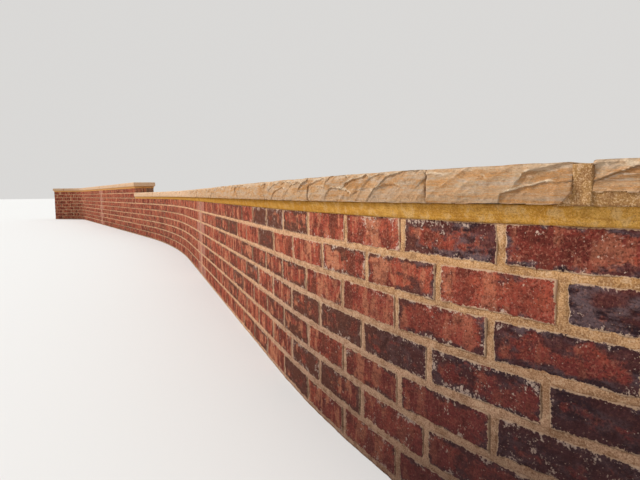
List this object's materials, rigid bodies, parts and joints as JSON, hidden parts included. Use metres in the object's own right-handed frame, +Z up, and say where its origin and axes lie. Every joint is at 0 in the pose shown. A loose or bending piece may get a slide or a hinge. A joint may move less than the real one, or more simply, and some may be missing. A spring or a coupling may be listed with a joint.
{
  "type": "brick garden wall",
  "caption": "Low winding garden wall of tumbled brick in running bond, with a rock-faced sandstone coping on a mortar bed, control joints and a step up.",
  "frame": {"origin": "centre of the wall's thickness, at ground level, under the middle of the near straight", "axes": "+Z up, -X along the straight towards the far end, -Y out of the lawn face"},
  "size_m": [15.3865, 4.6037, 0.6875],
  "materials": {
    "brick": "tumbled clay brick, red with dark flashed bricks, sandy mortar joints",
    "coping_mortar": "ochre mortar, tooled smooth",
    "sandstone": "rock-faced buff and brown sandstone",
    "joint_filler": "matt sanded sealant over a soft filler"
  },
  "bodies": {
    "root": {"near_return_brickwork": "brick", "near_return_bed": "coping_mortar", "near_return_coping": "sandstone", "near_bend_brickwork": "brick", "near_bend_bed": "coping_mortar", "near_bend_coping": "sandstone", "near_straight_brickwork": "brick", "near_straight_bed": "coping_mortar", "near_straight_coping": "sandstone", "middle_straight_brickwork": "brick", "middle_straight_bed": "coping_mortar", "middle_straight_coping": "sandstone", "middle_curve_brickwork": "brick", "middle_curve_bed": "coping_mortar", "middle_curve_coping": "sandstone", "middle_raised_brickwork": "brick", "middle_raised_courses": "brick", "middle_raised_bed": "coping_mortar", "middle_raised_coping": "sandstone", "far_raised_brickwork": "brick", "far_raised_courses": "brick", "far_raised_bed": "coping_mortar", "far_raised_coping": "sandstone", "far_bend_brickwork": "brick", "far_bend_courses": "brick", "far_bend_bed": "coping_mortar", "far_bend_coping": "sandstone", "near_control_joint": "joint_filler", "far_control_joint": "joint_filler"}
  },
  "joints": []
}
